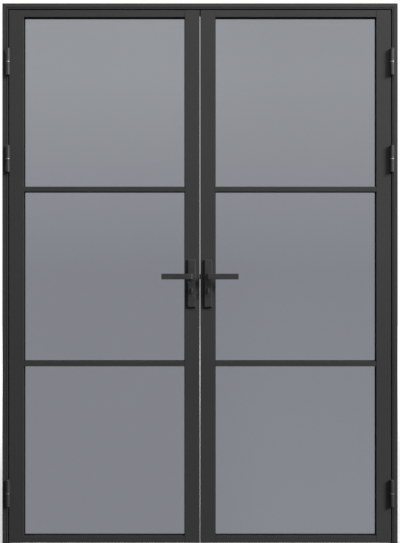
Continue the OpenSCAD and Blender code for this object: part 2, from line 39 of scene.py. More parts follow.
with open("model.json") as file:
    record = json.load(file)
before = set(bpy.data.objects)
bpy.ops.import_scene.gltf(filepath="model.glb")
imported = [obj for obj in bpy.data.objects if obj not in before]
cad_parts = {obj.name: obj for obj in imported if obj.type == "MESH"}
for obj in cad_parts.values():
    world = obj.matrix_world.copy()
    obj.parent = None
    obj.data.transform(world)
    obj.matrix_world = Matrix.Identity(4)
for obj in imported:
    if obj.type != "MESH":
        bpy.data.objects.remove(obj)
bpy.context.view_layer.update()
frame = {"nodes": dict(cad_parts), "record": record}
NODES = frame["nodes"]

# Each side with the sign of its X
SIDES = (("left", -1.0), ("right", 1.0))
JAMB_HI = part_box("right_jamb")[1]
GEAR_LO, GEAR_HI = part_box("right_bolt_gear")
PLATE_LO, PLATE_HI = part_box("right_back_plate")
HINGE_STILE_LO, HINGE_STILE_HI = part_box("right_hinge_stile")
MEETING_STILE_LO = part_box("right_meeting_stile")[0]

# Width of the frame's face round the leaves, and heights of the jambs' fixings
FRAME_FACE = 0.022
FIXING_HEIGHTS = (0.400, 0.850, 1.300, 1.750)
# Axes of the lever and the lock cylinder, and the distance from them to the plate screws
LEVER_Z, CYLINDER_Z = 1.054, 0.999
PLATE_SCREW_END = 0.053
# From the faceplate's ends to its first and last screw
FACEPLATE_SCREW_END = 0.09
# From a leaf's outer edges to the box that holds its glazing openings
OPENINGS_INSET = 0.010

# Rings of a cap as shares of its radius, and the depths of its skirt's two rings in the counterbore
CAP_RINGS = np.array([0.97, 0.97, 1.0, 0.985, 0.93, 0.8, 0.6, 0.35, 0.12])
CAP_SKIRT = (-0.004, -0.0005)
# Height of a faceplate screw's dome
SCREW_DOME = 0.00035
# Points round a head that has a slot or a socket, and where its innermost ring lies as a share of its radius
HEAD_TURNS = 72
INNER_RING = 0.05

# Place and width of each lamp
KEY_PLACE, KEY_WIDTH = (8.9, -6.1, 6.4), 4.8
FILL_PLACE, FILL_WIDTH = (0.6, -2.6, 4.6), 2.4
BACK_PLACE, BACK_WIDTH = (-6.4, 6.0, 5.6), 3.6
# Half the floor's side, and its points along a side
FLOOR_HALF, FLOOR_POINTS = 14.0, 5
# Distances from the doors between which the floor's glow grows to the backdrop's white
GLOW_FROM, GLOW_TO = 1.5, 6.5
SENSOR_WIDTH = 36.0


# Sizes and colours that a user would change


def colour(name, value, about):
    """A colour property in scene-linear values."""
    return bpy.props.FloatVectorProperty(
        name=name, description=about, subtype="COLOR", size=3, min=0.0, max=1.0, default=value
    )


def share(name, value, about, top=1.0):
    """A plain number property between nought and its top."""
    return bpy.props.FloatProperty(name=name, description=about, min=0.0, max=top, default=value)


def length(name, value, about):
    """A length property in metres."""
    return bpy.props.FloatProperty(name=name, description=about, unit="LENGTH", min=0.0, default=value)


class DoorFinishes(bpy.types.PropertyGroup):
    """Colours and gloss of the finishes."""

    coat: colour("Coat", (0.0282, 0.0282, 0.0288), "Powder coat of the frame and leaves")
    coat_dust: colour("Coat, dusty", (0.0362, 0.0362, 0.0362), "Powder coat where fine dust lies on it")
    coat_rough: share("Coat roughness", 0.66, "Mean roughness of the powder coat")
    coat_shine: share("Coat shine", 0.12, "Strength of the powder coat's mirror part")
    coat_grain: length("Coat grain", 0.00012, "Height of the powder coat's grain")
    # Painted shade: near-black colour on the walls of the glazing openings, standing in for the shade in
    # these recesses
    recess_shade: colour("Recess_shade", (0.0055, 0.0055, 0.006), "Black lining of the glazing openings")
    recess_shade_depth: length("Lining depth", 0.015, "How far the black lining reaches forward of the gaskets")
    hardware: colour("Hardware", (0.0050, 0.0053, 0.0058), "Satin coat of plates, levers and thumb turns")
    hardware_worn: colour("Hardware, handled", (0.0085, 0.0086, 0.0090), "Satin coat where hands polish it")
    hinge: colour("Hinges", (0.0165, 0.017, 0.0175), "Matt coat of the hinge barrels")
    hinge_worn: colour("Hinges, rubbed", (0.024, 0.024, 0.025), "Matt coat where it is rubbed")
    # The lighter and deeper glass tints drift at random, and their mix also carries a painted reflection:
    # deeper at the top and lighter at the foot of the right leaf
    glass: colour("Glass", (0.2305, 0.2402, 0.2667), "Tint of the glass where it is lighter")
    glass_deep_and_shaded: colour("Glass, deeper", (0.1990, 0.2075, 0.2303), "Tint of the glass where it is darker")
    # Painted light from above: share of the glass tint left in the top panes, a trace less blue
    glass_top_light: colour("Glass, high", (0.980, 0.980, 0.952), "Share of the glass tint that is left high up")
    rubber: colour("Rubber", (0.006, 0.006, 0.0065), "Seals and glazing gaskets")
    rubber_bloom: colour("Rubber, bloomed", (0.011, 0.011, 0.0115), "Seals where the surface has gone chalky")
    steel: colour("Steel", (0.56, 0.56, 0.57), "Bright steel of pins, screws, bolts and gear")
    steel_dark: colour("Steel, dark", (0.40, 0.40, 0.41), "Bright steel in the brush lines")
    washer: colour("Washers", (0.30, 0.30, 0.305), "Dull steel of the bearing washers")
    washer_dark: colour("Washers, dark", (0.21, 0.21, 0.215), "Dull steel in its turning lines")


class DoorFixings(bpy.types.PropertyGroup):
    """Sizes of the small fixings."""

    cap_radius: length("Cap radius", 0.0073, "Radius of the caps over the frame fixings")
    cap_dome: length("Cap dome", 0.0010, "Height of a cap's dome above the jamb")
    screw_radius: length("Faceplate screw radius", 0.0036, "Radius of the faceplate's countersunk heads")
    screw_pitch: length("Faceplate screw pitch", 0.330, "Distance between the faceplate's screws")
    socket_radius: length("Plate screw radius", 0.0044, "Radius of the back plate's screw heads")
    socket_height: length("Plate screw dome", 0.0009, "Height of a back plate screw's domed rim")


class DoorStage(bpy.types.PropertyGroup):
    """Camera, light and backdrop."""

    distance: length("Camera distance", 3.50, "From the camera to the doors' front face")
    centre_height: length("Picture centre", 1.0736, "Height of the middle of the picture on the front face")
    picture_height: length("Picture height", 2.1290, "Height that the picture covers on the front face")
    floor: colour("Floor", (0.30, 0.30, 0.30), "Pale floor, the share that takes light and shadow")
    floor_glow: share("Floor glow", 0.25, "Even brightness of the pale floor by the doors", 2.0)
    floor_spill: colour("Floor spill", (0.12, 0.12, 0.12), "Light that the floor throws back on the doors")
    key: share("Key light", 2450.0, "Power of the large light at the front right, in watts", 9000.0)
    fill: share("Fill light", 75.0, "Power of the wide light high in front of the doors, in watts", 5000.0)
    back: share("Back light", 1300.0, "Power of the large light behind the doors, in watts", 9000.0)
    room_front: share("Room light, front", 0.10, "Strength of the room's light in front of the doors", 10.0)
    room_back: share("Room light, back", 1.05, "Strength of the room's light behind the doors", 10.0)
    mirrored: share("Room in reflections", 0.18, "Strength of floor and horizon in reflections", 10.0)
    mirrored_above: share("Ceiling in reflections", 0.62, "Strength of the ceiling in reflections", 10.0)


# Surfaces


def grid_faces(rows, cols, closed):
    """Quads between neighbouring points of a rows by cols grid; closed joins the last column to the first."""
    r = np.arange(rows - 1)[:, None]
    c = np.arange(cols if closed else cols - 1)[None, :]
    d = (c + 1) % cols
    quad = np.stack([r * cols + c, r * cols + d, (r + 1) * cols + d, (r + 1) * cols + c], axis=-1)
    return quad.reshape(-1, 4).tolist()


def make_piece(name, parts, body, material):
    """Puts lists of (points, faces) into one smooth mesh, one after the other, and lets it ride on a body."""
    start, points, faces = 0, [], []
    for p, f in parts:
        points.append(p)
        faces.extend([i + start for i in face] for face in f)
        start += len(p)
    mesh = bpy.data.meshes.new(name)
    mesh.from_pydata(np.concatenate(points).tolist(), [], faces)
    mesh.validate()
    mesh.polygons.foreach_set("use_smooth", np.ones(len(mesh.polygons), bool))
    mesh.materials.append(material)
    piece = bpy.data.objects.new(name, mesh)
    bpy.context.scene.collection.objects.link(piece)
    if body is None:
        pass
    else:
        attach(piece, body)
    return piece


def round_head(radii, heights, shape, turns=48):
    """A head on a polar grid: ring i has radius radii[i], and its height is heights[i] less shape(x, y).

    The rings run from the rim inwards, and one point at the middle closes them."""
    angle = np.linspace(0.0, 2.0 * math.pi, turns, endpoint=False)[None, :]
    r = np.asarray(radii)[:, None]
    x, y = r * np.cos(angle), r * np.sin(angle)
    z = np.asarray(heights)[:, None] - shape(x, y)
    points = np.stack([x, y, z], axis=-1).reshape(-1, 3)
    centre = np.zeros((1, 1))
    middle = np.array([[0.0, 0.0, heights[-1] - float(shape(centre, centre)[0, 0])]])
    faces = grid_faces(len(radii), turns, True)
    last, tip = (len(radii) - 1) * turns, len(points)
    faces += [[last + i, last + (i + 1) % turns, tip] for i in range(turns)]
    return np.concatenate([points, middle]), faces


def placed(part, origin, outward):
    """Turns a head so that its height runs along outward and its Y upwards, and moves it to its origin."""
    n = np.asarray(outward, float)
    v = np.array([0.0, 0.0, 1.0])
    u = np.cross(v, n)
    points, faces = part
    return points[:, :1] * u + points[:, 1:2] * v + points[:, 2:] * n + np.asarray(origin, float), faces


def soft_step(value, edge, width):
    """Smooth step from 0 to 1 about an edge."""
    t = np.clip((value - edge) / width + 0.5, 0.0, 1.0)
    return t * t * (3.0 - 2.0 * t)


# Shader nodes


FLOAT, RGBA = "NodeSocketFloat", "NodeSocketColor"


def rgba(value):
    """A colour property with its alpha."""
    return (*value, 1.0)


def link(tree, source, target):
    """Joins two sockets."""
    tree.links.new(source, target)


def node(tree, kind, at=(0, 0), **values):
    """Adds a shader node and sets its settings and unlinked inputs by name."""
    n = tree.nodes.new(kind)
    n.location = at
    for key, value in values.items():
        if hasattr(n, key):
            setattr(n, key, value)
        else:
            n.inputs[key.replace("_", " ")].default_value = value
    return n


def tint(tree, value, at=(0, 0)):
    """A constant colour; gives its socket."""
    n = node(tree, "ShaderNodeRGB", at)
    n.outputs[0].default_value = rgba(value)
    return n.outputs[0]


def mixed(tree, factor, first, second, at=(0, 0), blend="MIX"):
    """Colour mix of two sockets by a third; gives the result socket."""
    m = node(tree, "ShaderNodeMix", at, data_type="RGBA", blend_type=blend)
    link(tree, factor, m.inputs["Factor"])
    link(tree, first, [s for s in m.inputs if s.name == "A" and s.type == "RGBA"][0])
    link(tree, second, [s for s in m.inputs if s.name == "B" and s.type == "RGBA"][0])
    return [s for s in m.outputs if s.type == "RGBA"][0]


def chosen(tree, factor, first, second, at=(0, 0)):
    """Mix of two shaders by a socket; gives the result socket."""
    m = node(tree, "ShaderNodeMixShader", at)
    for source, target in ((factor, "Fac"), (first, 1), (second, 2)):
        link(tree, source, m.inputs[target])
    return m.outputs[0]


def feed(tree, source, target):
    """Joins a socket to a target, or sets a number on it."""
    if isinstance(source, float):
        target.default_value = source
    else:
        link(tree, source, target)


def calc(tree, operation, sources, at=(0, 0), clamp=False):
    """A calculation with sockets and numbers; gives the result socket."""
    n = node(tree, "ShaderNodeMath", at, operation=operation, use_clamp=clamp)
    for source, target in zip(sources, n.inputs):
        feed(tree, source, target)
    return n.outputs[0]


def ranged(tree, source, span, result=(0.0, 1.0), at=(0, 0), shape="LINEAR"):
    """Carries a socket's values from a span over to a result range; gives the node."""
    n = node(tree, "ShaderNodeMapRange", at, interpolation_type=shape)
    link(tree, source, n.inputs["Value"])
    for key, value in zip(("From Min", "From Max", "To Min", "To Max"), (*span, *result)):
        n.inputs[key].default_value = value
    return n


def group_with(name, inputs, outputs):
    """A shader node group with named sockets; gives the tree and its two end nodes."""
    tree = bpy.data.node_groups.new(name, "ShaderNodeTree")
    for label, kind, value in inputs:
        s = tree.interface.new_socket(label, in_out="INPUT", socket_type=kind)
        s.default_value = value
    for label, kind in outputs:
        tree.interface.new_socket(label, in_out="OUTPUT", socket_type=kind)
    return tree, tree.nodes.new("NodeGroupInput"), tree.nodes.new("NodeGroupOutput")


def coat_group():
    """Sprayed coat: broad drifts of tone, dust towards the floor, fine grain for the bump and broken gloss.

    Tone is a soft noise; dust is the height above the floor turned round, times a finer noise."""
    tree, start, end = group_with(
        "Sprayed coat",
        [("Colour", RGBA, (0.05, 0.05, 0.05, 1)), ("Dusty", RGBA, (0.06, 0.06, 0.06, 1)),
         ("Drift Scale", FLOAT, 2.5), ("Grain Scale", FLOAT, 900.0), ("Dust Height", FLOAT, 0.5),
         ("Rough Low", FLOAT, 0.4), ("Rough High", FLOAT, 0.5)],
        [("Colour", RGBA), ("Roughness", FLOAT), ("Grain", FLOAT)],
    )
    most_dust, most_drift = 0.55, 0.45
    coords = node(tree, "ShaderNodeTexCoord", (-900, 0)).outputs["Object"]
    drift = node(tree, "ShaderNodeTexNoise", (-700, 200), Detail=3.0, Roughness=0.55)
    grain = node(tree, "ShaderNodeTexNoise", (-700, -200), Detail=2.0, Roughness=0.5)
    smear = node(tree, "ShaderNodeTexNoise", (-700, -450), Scale=38.0, Detail=4.0, Roughness=0.6)
    link(tree, start.outputs["Drift Scale"], drift.inputs["Scale"])
    link(tree, start.outputs["Grain Scale"], grain.inputs["Scale"])
    for n in (drift, grain, smear):
        link(tree, coords, n.inputs["Vector"])
    height = node(tree, "ShaderNodeSeparateXYZ", (-700, 450))
    link(tree, coords, height.inputs[0])
    low = ranged(tree, height.outputs["Z"], (0.0, 1.0), (most_dust, 0.0), (-500, 450))
    link(tree, start.outputs["Dust Height"], low.inputs["From Max"])
    tone = ranged(tree, drift.outputs["Fac"], (0.35, 0.7), (0.0, most_drift), (-500, 200))
    dust = calc(
        tree, "MULTIPLY_ADD", (low.outputs[0], smear.outputs["Fac"], tone.outputs[0]), (-300, 330), clamp=True
    )
    toned = mixed(tree, dust, start.outputs["Colour"], start.outputs["Dusty"], (-100, 250))
    gloss = ranged(tree, smear.outputs["Fac"], (0.3, 0.7), at=(-300, -450))
    link(tree, start.outputs["Rough Low"], gloss.inputs["To Min"])
    link(tree, start.outputs["Rough High"], gloss.inputs["To Max"])
    link(tree, toned, end.inputs["Colour"])
    link(tree, gloss.outputs[0], end.inputs["Roughness"])
    link(tree, grain.outputs["Fac"], end.inputs["Grain"])
    return tree


def brushed_group():
    """Brushed metal: a noise drawn out along Z, so that its lines run up and down the piece."""
    tree, start, end = group_with(
        "Brushed lines",
        [("Colour", RGBA, (0.6, 0.6, 0.6, 1)), ("Lines", RGBA, (0.4, 0.4, 0.4, 1)),
         ("Line Scale", FLOAT, 1400.0)],
        [("Colour", RGBA), ("Roughness", FLOAT), ("Grain", FLOAT)],
    )
    least_rough, most_rough = 0.44, 0.62
    coords = node(tree, "ShaderNodeTexCoord", (-900, 0)).outputs["Object"]
    drawn = node(tree, "ShaderNodeMapping", (-700, 0), Scale=(1.0, 1.0, 0.03))
    link(tree, coords, drawn.inputs["Vector"])
    lines = node(tree, "ShaderNodeTexNoise", (-500, 0), Detail=2.0)
    link(tree, drawn.outputs[0], lines.inputs["Vector"])
    link(tree, start.outputs["Line Scale"], lines.inputs["Scale"])
    toned = mixed(tree, lines.outputs["Fac"], start.outputs["Colour"], start.outputs["Lines"], (-250, 150))
    gloss = ranged(tree, lines.outputs["Fac"], (0.0, 1.0), (least_rough, most_rough), (-250, -150))
    link(tree, toned, end.inputs["Colour"])
    link(tree, gloss.outputs[0], end.inputs["Roughness"])
    link(tree, lines.outputs["Fac"], end.inputs["Grain"])
    return tree


# Materials


def surface(name):
    """A new material; gives it with its tree and its shader."""
    m = bpy.data.materials.new(name)
    m.use_nodes = True
    return m, m.node_tree, m.node_tree.nodes["Principled BSDF"]


def finish_from(group, tree, shader, depth):
    """Joins a group's colour, roughness and grain to a shader; the grain is a bump, its depth in metres."""
    link(tree, group.outputs["Colour"], shader.inputs["Base Color"])
    link(tree, group.outputs["Roughness"], shader.inputs["Roughness"])
    bump = node(tree, "ShaderNodeBump", (-250, -350), Strength=1.0, Distance=depth)
    link(tree, group.outputs["Grain"], bump.inputs["Height"])
    link(tree, bump.outputs[0], shader.inputs["Normal"])


def coated(name, base, dusty, rough, shine, grain, drift, dust_height, grain_scale):
    """Coated metal from the sprayed coat group; its roughness varies a little about the mean."""
    m, tree, shader = surface(name)
    g = node(tree, "ShaderNodeGroup", (-550, 0))
    g.node_tree = bpy.data.node_groups.get("Sprayed coat") or coat_group()
    for key, value in (
        ("Colour", rgba(base)), ("Dusty", rgba(dusty)), ("Drift Scale", drift), ("Grain Scale", grain_scale),
        ("Dust Height", dust_height), ("Rough Low", rough - 0.05), ("Rough High", rough + 0.06),
    ):
        g.inputs[key].default_value = value
    shader.inputs["Specular IOR Level"].default_value = shine
    finish_from(g, tree, shader, grain)
    return m


def shade_openings(material, recess_shade, depth):
    """Painted shade on a leaf's glazing openings: a dull near-black on their walls from the gaskets forward,
    standing in for the shade that falls in these recesses; its roughness is 1.

    It is where a point lies in a box round the openings: each coordinate, taken from the box's middle without
    its sign, is less than half the box. Both leaves share the box, because X is taken without its sign first.
    The gaskets' plane is where Y is nought."""
    tree = material.node_tree
    shader = tree.nodes["Principled BSDF"]
    low = np.array([MEETING_STILE_LO[0], 0.0, MEETING_STILE_LO[2]]) + OPENINGS_INSET
    high = np.array([HINGE_STILE_HI[0], 0.0, HINGE_STILE_HI[2]]) - OPENINGS_INSET
    middle, half = 0.5 * (low + high), 0.5 * (high - low)
    half[1] = depth
    place = node(tree, "ShaderNodeTexCoord", (-1300, 500)).outputs["Object"]
    for step, (operation, value) in enumerate(
        (("ABSOLUTE", None), ("SUBTRACT", middle), ("ABSOLUTE", None), ("SUBTRACT", half))
    ):
        n = node(tree, "ShaderNodeVectorMath", (-1150 + 150 * step, 500), operation=operation)
        link(tree, place, n.inputs[0])
        if value is not None:
            n.inputs[1].default_value = value.tolist()
        place = n.outputs[0]
    past = node(tree, "ShaderNodeSeparateXYZ", (-550, 500))
    link(tree, place, past.inputs[0])
    sides = calc(tree, "MAXIMUM", (past.outputs["X"], past.outputs["Z"]), (-400, 550))
    most = calc(tree, "MAXIMUM", (sides, past.outputs["Y"]), (-250, 500))
    inside = calc(tree, "LESS_THAN", (most, 0.0), (-100, 500))
    coat = shader.inputs["Base Color"].links[0].from_socket
    rough = shader.inputs["Roughness"].links[0].from_socket
    # Painted shade: the recess walls take the near-black colour in place of the coat
    toned = mixed(tree, inside, coat, tint(tree, recess_shade, (-250, 300)), (-100, 250))
    dull = calc(tree, "MAXIMUM", (rough, inside), (50, 500))
    link(tree, toned, shader.inputs["Base Color"])
    link(tree, dull, shader.inputs["Roughness"])


def brushed_steel(name, base, lines, metal):
    """Brushed steel; the share of metal under 1 leaves some of a plated surface's own pale tone."""
    m, tree, shader = surface(name)
    g = node(tree, "ShaderNodeGroup", (-550, 0))
    g.node_tree = bpy.data.node_groups.get("Brushed lines") or brushed_group()
    g.inputs["Colour"].default_value = rgba(base)
    g.inputs["Lines"].default_value = rgba(lines)
    shader.inputs["Metallic"].default_value = metal
    finish_from(g, tree, shader, depth=0.00003)
    return m


def tinted_glass(look):
    """Grey glass: its tint drifts a little from place to place, and faint wipe marks break its polish.

    Towards the right leaf the tone slopes, a painted reflection: a shade deeper at the top and a shade
    lighter at the foot.
    The top panes are a trace less blue, painted light from above."""
    reflection_span_x, reflection_span_z, top_light_span = (-0.15, 0.35), (2.1, 0.1), (1.15, 1.75)
    reflection_slope, drifts, most_haze = (-0.44, 0.70), (0.23, 0.43), 0.03
    m, tree, shader = surface("grey_glass")
    coords = node(tree, "ShaderNodeTexCoord", (-900, 0)).outputs["Object"]
    drift = node(tree, "ShaderNodeTexNoise", (-700, 100), Scale=1.3, Detail=1.0)
    link(tree, coords, drift.inputs["Vector"])
    place = node(tree, "ShaderNodeSeparateXYZ", (-700, 800))
    link(tree, coords, place.inputs[0])
    # Painted reflection: across the right leaf the tone slopes from deeper at the top to lighter at the foot
    across = ranged(tree, place.outputs["X"], reflection_span_x, at=(-500, 900), shape="SMOOTHSTEP")
    down = ranged(tree, place.outputs["Z"], reflection_span_z, reflection_slope, (-500, 700))
    spread = ranged(tree, drift.outputs["Fac"], (0.0, 1.0), drifts, (-500, 500))
    # Painted light from above: the top panes' tint is multiplied towards a less blue colour
    top_light_share = ranged(tree, place.outputs["Z"], top_light_span, at=(-500, 1100), shape="SMOOTHSTEP")
    tone = calc(
        tree, "MULTIPLY_ADD", (across.outputs[0], down.outputs[0], spread.outputs[0]), (-300, 700), clamp=True
    )
    deep, light = tint(tree, look.glass_deep_and_shaded, (-700, 350)), tint(tree, look.glass, (-700, 550))
    toned = mixed(tree, tone, deep, light, (-100, 400))
    high = tint(tree, look.glass_top_light, (-300, 1000))
    link(tree, mixed(tree, top_light_share.outputs[0], toned, high, (50, 600), "MULTIPLY"), shader.inputs["Base Color"])
    drawn = node(tree, "ShaderNodeMapping", (-700, -200), Scale=(7.0, 7.0, 1.6))
    link(tree, coords, drawn.inputs["Vector"])
    wipe = node(tree, "ShaderNodeTexNoise", (-500, -200), Scale=1.0, Detail=4.0, Roughness=0.65)
    link(tree, drawn.outputs[0], wipe.inputs["Vector"])
    haze = ranged(tree, wipe.outputs["Fac"], (0.45, 0.8), (0.0, most_haze), (-300, -200))
    link(tree, haze.outputs[0], shader.inputs["Roughness"])
    shader.inputs["Metallic"].default_value = 0.0
    shader.inputs["IOR"].default_value = 1.5
    shader.inputs["Transmission Weight"].default_value = 1.0
    return m


def pale_floor(stage):
    """Pale floor: soft shadows seen straight on, an even tone through the glass, little light thrown back.

    Its glow grows with the distance from the doors, so that it runs into the white backdrop."""
    m, tree, shader = surface("pale_floor")
    tree.nodes.remove(shader)
    way = node(tree, "ShaderNodeLightPath", (-900, 200))
    seen = node(tree, "ShaderNodeBsdfDiffuse", (-700, 0), Color=rgba(stage.floor))
    glow = node(tree, "ShaderNodeEmission", (-700, -150))
    away = node(tree, "ShaderNodeVectorMath", (-1100, -150), operation="LENGTH")
    link(tree, node(tree, "ShaderNodeTexCoord", (-1300, -150)).outputs["Object"], away.inputs[0])
    fade = ranged(
        tree, away.outputs["Value"], (GLOW_FROM, GLOW_TO), (stage.floor_glow, 1.0), (-900, -150), "SMOOTHSTEP"
    )
    link(tree, fade.outputs[0], glow.inputs["Strength"])
    lit = node(tree, "ShaderNodeAddShader", (-500, -50))
    link(tree, seen.outputs[0], lit.inputs[0])
    link(tree, glow.outputs[0], lit.inputs[1])
    even = node(tree, "ShaderNodeEmission", (-500, -250), Strength=stage.room_back).outputs[0]
    dim = node(tree, "ShaderNodeEmission", (-300, -250), Strength=stage.mirrored).outputs[0]
    spill = node(tree, "ShaderNodeBsdfDiffuse", (-500, 150), Color=rgba(stage.floor_spill)).outputs[0]
    # Rays through glass count as mirrored ones too, so they are told apart last
    straight = chosen(tree, way.outputs["Is Camera Ray"], spill, lit.outputs[0], (-300, 50))
    mirrored = chosen(tree, way.outputs["Is Glossy Ray"], straight, dim, (-100, 0))
    through = chosen(tree, way.outputs["Is Transmission Ray"], mirrored, even, (100, 0))
    link(tree, through, tree.nodes["Material Output"].inputs["Surface"])
    return m


MATERIALS = {}


def dress(names, material):
    """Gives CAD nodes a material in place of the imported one."""
    for name in names:
        slots = NODES[name].data.materials
        slots.clear()
        slots.append(material)


def nodes_of(slot, ending=""):
    """Names of the nodes that take their finish from a slot of the record, and whose names have an ending."""
    names = [s["node"] for s in frame["record"]["subparts"] if s["material_slot"] == slot]
    return [name for name in names if name.endswith(ending)]


class DOORS_OT_coat(bpy.types.Operator):
    """Powder coat on the frame, leaves and glazing beads, with painted shade, a dull near-black, on the walls
    of the glazing openings
    """

    bl_idname = "doors.coat"
    bl_label = "Powder coat"

    def execute(self, context):
        look = context.scene.door_finishes
        for slot in ("frame_paint", "leaf_paint"):
            MATERIALS[slot] = coated(
                slot, look.coat, look.coat_dust, look.coat_rough, look.coat_shine, look.coat_grain,
                drift=2.2, dust_height=0.55, grain_scale=900.0,
            )
            dress(nodes_of(slot), MATERIALS[slot])
        # Painted shade: near-black colour on the walls of the glazing openings
        shade_openings(MATERIALS["leaf_paint"], look.recess_shade, look.recess_shade_depth)
        return {"FINISHED"}


class DOORS_OT_hardware(bpy.types.Operator):
    """Black coats: satin on backplates, levers, lock cylinders and thumb turns, matt on the hinge barrels"""

    bl_idname = "doors.hardware"
    bl_label = "Black hardware"

    def execute(self, context):
        look = context.scene.door_finishes
        MATERIALS["black_hardware"] = coated(
            "black_hardware", look.hardware, look.hardware_worn, rough=0.44, shine=0.87, grain=0.00004,
            drift=24.0, dust_height=0.3, grain_scale=1500.0,
        )
        MATERIALS["hinge_coat"] = coated(
            "hinge_coat", look.hinge, look.hinge_worn, rough=0.62, shine=0.45, grain=0.00005,
            drift=24.0, dust_height=0.3, grain_scale=1500.0,
        )
        dress(nodes_of("black_hardware"), MATERIALS["black_hardware"])
        dress(nodes_of("black_hardware", "barrels"), MATERIALS["hinge_coat"])
        return {"FINISHED"}


class DOORS_OT_steel(bpy.types.Operator):
    """Bright steel of pins, spindles, screws, bolts and gear, and dull steel of the washers"""

    bl_idname = "doors.steel"
    bl_label = "Bright steel"

    def execute(self, context):
        look = context.scene.door_finishes
        MATERIALS["bright_steel"] = brushed_steel("bright_steel", look.steel, look.steel_dark, metal=0.7)
        MATERIALS["washer_steel"] = brushed_steel("washer_steel", look.washer, look.washer_dark, metal=1.0)
        dress(nodes_of("bright_steel"), MATERIALS["bright_steel"])
        dress(nodes_of("bright_steel", "washers"), MATERIALS["washer_steel"])
        return {"FINISHED"}


class DOORS_OT_glass(bpy.types.Operator):
    """Grey glass in the panes"""

    bl_idname = "doors.glass"
    bl_label = "Glass"

    def execute(self, context):
        MATERIALS["grey_glass"] = tinted_glass(context.scene.door_finishes)
        dress(nodes_of("grey_glass"), MATERIALS["grey_glass"])
        return {"FINISHED"}


class DOORS_OT_rubber(bpy.types.Operator):
    """Black rubber of the gaskets and seals"""

    bl_idname = "doors.rubber"
    bl_label = "Rubber"

    def execute(self, context):
        look = context.scene.door_finishes
        MATERIALS["seal_rubber"] = coated(
            "seal_rubber", look.rubber, look.rubber_bloom, rough=0.8, shine=0.1, grain=0.00006,
            drift=12.0, dust_height=0.4, grain_scale=1100.0,
        )
        dress(nodes_of("seal_rubber"), MATERIALS["seal_rubber"])
        return {"FINISHED"}


class DOORS_OT_caps(bpy.types.Operator):
    """Domed caps over the frame fixings, in the jambs' counterbores"""

    bl_idname = "doors.caps"
    bl_label = "Fixing caps"

    def execute(self, context):
        size = context.scene.door_fixings
        # From the skirt's foot up to the rim, then a flat dome: height falls with the radius squared
        r = size.cap_radius * CAP_RINGS
        h = np.concatenate([CAP_SKIRT, size.cap_dome * (1.0 - (r[len(CAP_SKIRT):] / size.cap_radius) ** 2)])
        cap = round_head(r, h, lambda x, y: 0.0 * x)
        inner = JAMB_HI[0] - FRAME_FACE
        for side, k in SIDES:
            parts = [placed(cap, (k * inner, 0.0, z), (-k, 0.0, 0.0)) for z in FIXING_HEIGHTS]
            make_piece(f"{side}_fixing_caps", parts, "frame", MATERIALS["frame_paint"])
        return {"FINISHED"}


class DOORS_OT_faceplate_screws(bpy.types.Operator):
    """Countersunk cross-slot screws down the faceplates in the meeting edges"""

    bl_idname = "doors.faceplate_screws"
    bl_label = "Faceplate screws"

    def execute(self, context):
        size = context.scene.door_fixings
        arm, reach, deep = size.screw_radius * 0.16, size.screw_radius * 0.62, size.screw_radius * 0.09

        def cross(x, y):
            """Depth of the cross slot: full where one coordinate is within an arm, the other within reach."""
            ax, ay = np.abs(x), np.abs(y)
            one = (1 - soft_step(ax, arm, arm * 0.6)) * (1 - soft_step(ay, reach, arm))
            two = (1 - soft_step(ay, arm, arm * 0.6)) * (1 - soft_step(ax, reach, arm))
            return deep * np.maximum(one, two)

        # A flat dome: height falls with the fourth power of the radius
        r = size.screw_radius * np.linspace(1.0, INNER_RING, 22)
        h = SCREW_DOME * (1.0 - (r / size.screw_radius) ** 4)
        head = round_head(r, h, cross, HEAD_TURNS)
        count = int((GEAR_HI[2] - GEAR_LO[2]) / size.screw_pitch)
        heights = np.linspace(GEAR_LO[2] + FACEPLATE_SCREW_END, GEAR_HI[2] - FACEPLATE_SCREW_END, count + 1)
        steel = MATERIALS["bright_steel"]
        for side, k in SIDES:
            parts = [placed(head, (k * GEAR_LO[0], 0.0, z), (-k, 0.0, 0.0)) for z in heights]
            make_piece(f"{side}_faceplate_screws", parts, f"{side}_leaf", steel)
        return {"FINISHED"}


class DOORS_OT_plate_screw_sockets(bpy.types.Operator):
    """Domed rims with six-sided sockets on the screws of the back plates"""

    bl_idname = "doors.plate_screw_sockets"
    bl_label = "Plate screw sockets"

    def execute(self, context):
        size = context.scene.door_fixings
        half, deep = size.socket_radius * 0.5, size.socket_height * 0.92

        def socket(x, y):
            """Depth of the socket: full inside a hexagon, the largest of three distances across its flats."""
            flats = [np.abs(x * math.cos(a) + y * math.sin(a)) for a in (0.0, math.pi / 3, 2 * math.pi / 3)]
            return deep * (1 - soft_step(np.max(flats, axis=0), half, half * 0.18))

        # A flat dome: height falls with the sixth power of the radius
        r = size.socket_radius * np.linspace(1.0, INNER_RING, 24)
        h = size.socket_height * (1.0 - (r / size.socket_radius) ** 6)
        head = round_head(r, h, socket, HEAD_TURNS)
        mid_x = 0.5 * (PLATE_LO[0] + PLATE_HI[0])
        heights = (LEVER_Z + PLATE_SCREW_END, CYLINDER_Z - PLATE_SCREW_END)
        steel = MATERIALS["bright_steel"]
        for side, k in SIDES:
            parts = [placed(head, (k * mid_x, PLATE_HI[1], z), (0.0, 1.0, 0.0)) for z in heights]
            make_piece(f"{side}_plate_screw_sockets", parts, f"{side}_leaf", steel)
        return {"FINISHED"}


# Stage


def add_lamp(scene, name, place, aim, width, power):
    """A round soft light that faces a point."""
    data = bpy.data.lights.new(name, "AREA")
    data.shape, data.size, data.energy = "DISK", width, power
    lamp = bpy.data.objects.new(name, data)
    lamp.location = place
    direction = np.asarray(aim, float) - np.asarray(place, float)
    lamp.rotation_mode = "QUATERNION"
    lamp.rotation_quaternion = Vector(direction.tolist()).to_track_quat("-Z", "Y")
    scene.collection.objects.link(lamp)


